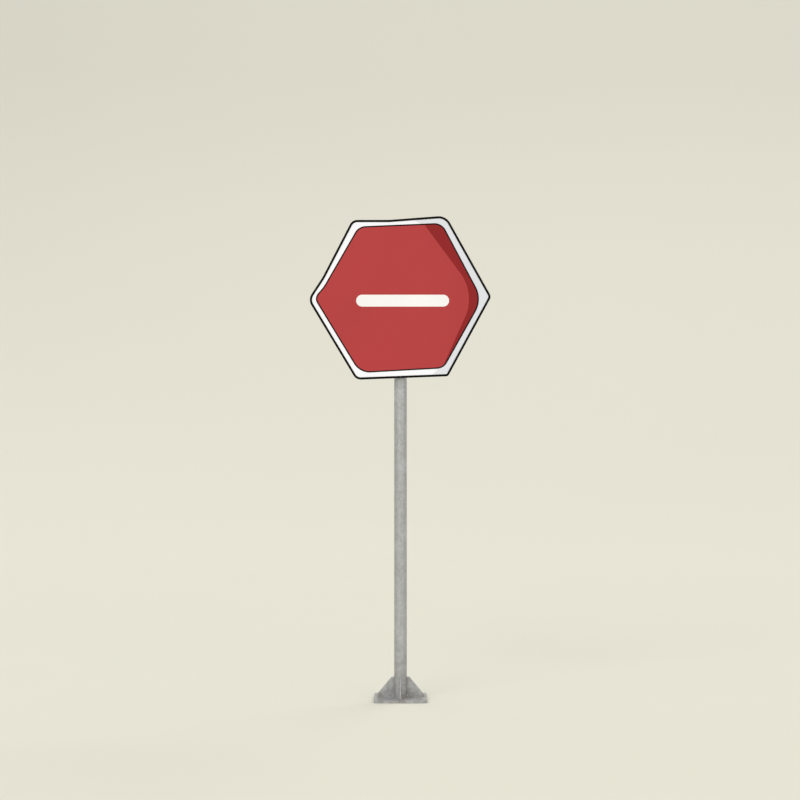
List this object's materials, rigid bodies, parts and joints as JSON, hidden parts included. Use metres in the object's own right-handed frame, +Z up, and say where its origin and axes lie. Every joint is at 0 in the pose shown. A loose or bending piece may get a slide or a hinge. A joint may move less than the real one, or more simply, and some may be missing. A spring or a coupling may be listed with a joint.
{
  "type": "signpost with sign",
  "caption": "Hexagonal red traffic sign with white border and plain white bar, clamped by rails and straps to a round galvanised post on a bolted base plate.",
  "frame": {"origin": "on the post's axis at the underside of the base plate, the centre of the anchor holes", "axes": "+Z up along the post; the sign faces -Y; +X is to the right of someone who reads the sign"},
  "size_m": [0.8522, 0.25, 2.2853],
  "materials": {
    "aluminium_sheet": "mill finish, faintly brushed, dull",
    "aluminium_rail": "extruded, satin",
    "rivet_aluminium": "bright, slightly crushed",
    "white_sheeting": "retroreflective sheeting, satin gloss",
    "red_sheeting": "retroreflective sheeting, satin gloss",
    "dark_red_film": "printed shade tone, satin gloss",
    "grey_film": "printed shade tone, satin gloss",
    "black_film": "screen-printed black, satin",
    "black_rubber": "matt extruded rubber edging",
    "black_plastic": "moulded, fine grain",
    "label_foil": "blank silver foil label",
    "galvanised_steel": "hot-dip galvanised, soft spangle",
    "galvanised_weld": "galvanised weld bead, rippled",
    "zinc_plated_steel": "zinc plated, semi-bright"
  },
  "bodies": {
    "post": {"post_tube": "galvanised_steel", "post_cap": "black_plastic", "base_plate": "galvanised_steel", "foot_weld": "galvanised_weld", "base_gussets": "galvanised_steel", "gusset_welds": "galvanised_weld"},
    "sign_head": {"sign_plate": "aluminium_sheet", "edge_trim": "black_rubber", "border_film_white": "white_sheeting", "keyline_film": "black_film", "field_film_red": "red_sheeting", "border_shade_film": "grey_film", "field_shade_film": "dark_red_film", "legend_bar": "white_sheeting", "rear_label": "label_foil", "upper_rail": "aluminium_rail", "upper_rail_rivets": "rivet_aluminium", "upper_rail_end_caps": "black_plastic", "upper_clamp_strap": "galvanised_steel", "upper_clamp_bolts": "zinc_plated_steel", "upper_clamp_washers": "zinc_plated_steel", "upper_clamp_nuts": "zinc_plated_steel", "lower_rail": "aluminium_rail", "lower_rail_rivets": "rivet_aluminium", "lower_rail_end_caps": "black_plastic", "lower_clamp_strap": "galvanised_steel", "lower_clamp_bolts": "zinc_plated_steel", "lower_clamp_washers": "zinc_plated_steel", "lower_clamp_nuts": "zinc_plated_steel"}
  },
  "joints": [
    {"name": "sign_swivel", "type": "hinge", "parent": "post", "child": "sign_head", "pos_m": [0, 0, 1.9], "axis": [0, 0, 1], "continuous": true}
  ]
}
